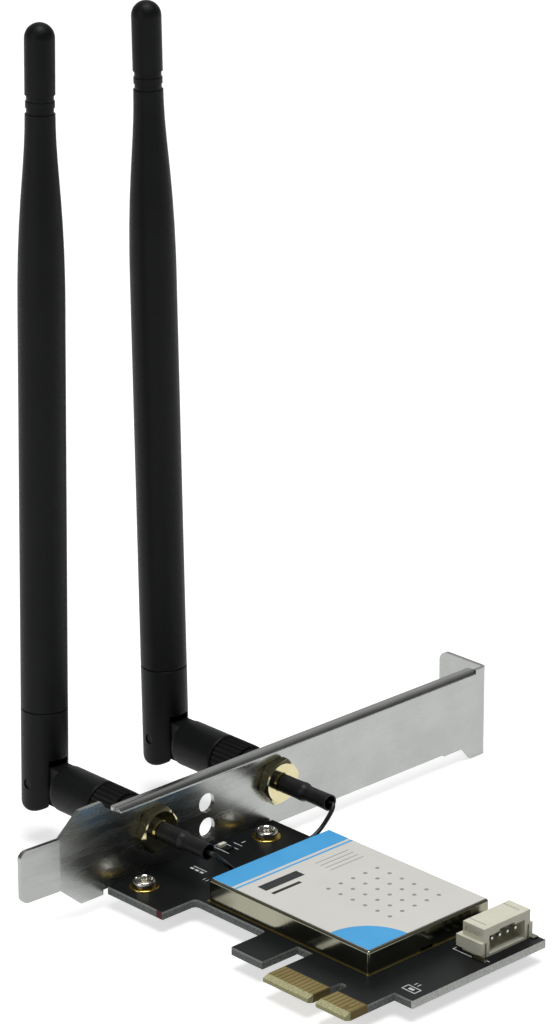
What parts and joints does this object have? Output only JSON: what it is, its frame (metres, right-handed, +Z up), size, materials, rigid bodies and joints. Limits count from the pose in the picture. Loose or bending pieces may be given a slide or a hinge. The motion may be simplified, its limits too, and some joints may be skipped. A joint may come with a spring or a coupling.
{
  "type": "wireless network expansion card",
  "caption": "Wireless network card for a desktop computer's expansion slot, with a folded steel bracket and black whip antennas that screw on, swivel and tilt",
  "frame": {"origin": "key centre on the contact edge, half way through the board", "axes": "X runs from the contact edge into the card, Y from the key out through the bracket to the antennas, Z up from the board's component side"},
  "size_m": [0.12, 0.1056, 0.1568],
  "materials": {
    "board": "black solder mask on glass laminate",
    "gold_plating": "thin gold plating",
    "bracket_steel": "satin nickel-plated steel sheet",
    "screw_steel": "nickel-plated steel",
    "shield_tin": "tinned steel sheet",
    "label_film": "printed film",
    "socket_plastic": "moulded",
    "brass": "plain turned",
    "header_plastic": "moulded ivory nylon",
    "pin_tin": "tinned",
    "lamp_lens": "clear moulded",
    "chip_black": "chip body",
    "jack_gold": "pale gold plated",
    "dielectric": "white turned polymer",
    "sleeve_black": "shrunk tube",
    "cable_black": "extruded jacket",
    "antenna_black": "fine matte moulded"
  },
  "bodies": {
    "card": {"antenna_ports": "brass", "bracket": "bracket_steel", "bracket_screws": "screw_steel", "circuit_board": "board", "coax_plug_left": "brass", "coax_plug_right": "brass", "crimp_ferrule_left": "brass", "crimp_ferrule_right": "brass", "edge_contacts": "gold_plating", "ground_ring": "gold_plating", "header_housing": "header_plastic", "header_pins": "pin_tin", "header_tabs": "shield_tin", "heat_sleeve_left": "sleeve_black", "heat_sleeve_right": "sleeve_black", "jack_body_left": "jack_gold", "jack_body_right": "jack_gold", "jack_contact_left": "jack_gold", "jack_contact_right": "jack_gold", "jack_insulator_left": "dielectric", "jack_insulator_right": "dielectric", "jack_nut_left": "jack_gold", "jack_nut_right": "jack_gold", "jack_washer_left": "jack_gold", "jack_washer_right": "jack_gold", "label": "label_film", "lamp_resistor": "chip_black", "module_board": "board", "module_lid": "shield_tin", "module_screw": "screw_steel", "module_socket": "socket_plastic", "module_standoff": "brass", "pigtail_left": "cable_black", "pigtail_right": "cable_black", "screw_pads": "gold_plating", "shield_can": "shield_tin", "status_lamp": "lamp_lens"},
    "nut_left": {"coupling_nut_left": "antenna_black"},
    "elbow_left": {"elbow_left": "antenna_black", "plug_body_left": "brass", "plug_core_left": "dielectric", "plug_socket_left": "brass"},
    "whip_left": {"hinge_housing_left": "antenna_black", "hinge_bolt_left": "screw_steel", "whip_sheath_left": "antenna_black", "radiator_left": "brass"},
    "nut_right": {"coupling_nut_right": "antenna_black"},
    "elbow_right": {"elbow_right": "antenna_black", "plug_body_right": "brass", "plug_core_right": "dielectric", "plug_socket_right": "brass"},
    "whip_right": {"hinge_housing_right": "antenna_black", "hinge_bolt_right": "screw_steel", "whip_sheath_right": "antenna_black", "radiator_right": "brass"}
  },
  "joints": [
    {"name": "nut_spin_left", "type": "hinge", "parent": "card", "child": "nut_left", "pos_m": [0.0158, 0.06785, 0.00868], "axis": [0, 1, 0], "continuous": true},
    {"name": "swivel_left", "type": "hinge", "parent": "card", "child": "elbow_left", "pos_m": [0.0158, 0.07785, 0.00868], "axis": [0, 1, 0], "range_deg": [-180, 0]},
    {"name": "tilt_left", "type": "hinge", "parent": "elbow_left", "child": "whip_left", "pos_m": [0.0158, 0.08864, 0.00868], "axis": [-0.9997, 0, 0.0232], "range_deg": [0, 90]},
    {"name": "nut_spin_right", "type": "hinge", "parent": "card", "child": "nut_right", "pos_m": [0.04649, 0.06785, 0.00868], "axis": [0, 1, 0], "continuous": true},
    {"name": "swivel_right", "type": "hinge", "parent": "card", "child": "elbow_right", "pos_m": [0.04649, 0.07785, 0.00868], "axis": [0, 1, 0], "range_deg": [0, 180]},
    {"name": "tilt_right", "type": "hinge", "parent": "elbow_right", "child": "whip_right", "pos_m": [0.04649, 0.08864, 0.00868], "axis": [-0.9999, 0, -0.015], "range_deg": [0, 90]}
  ]
}
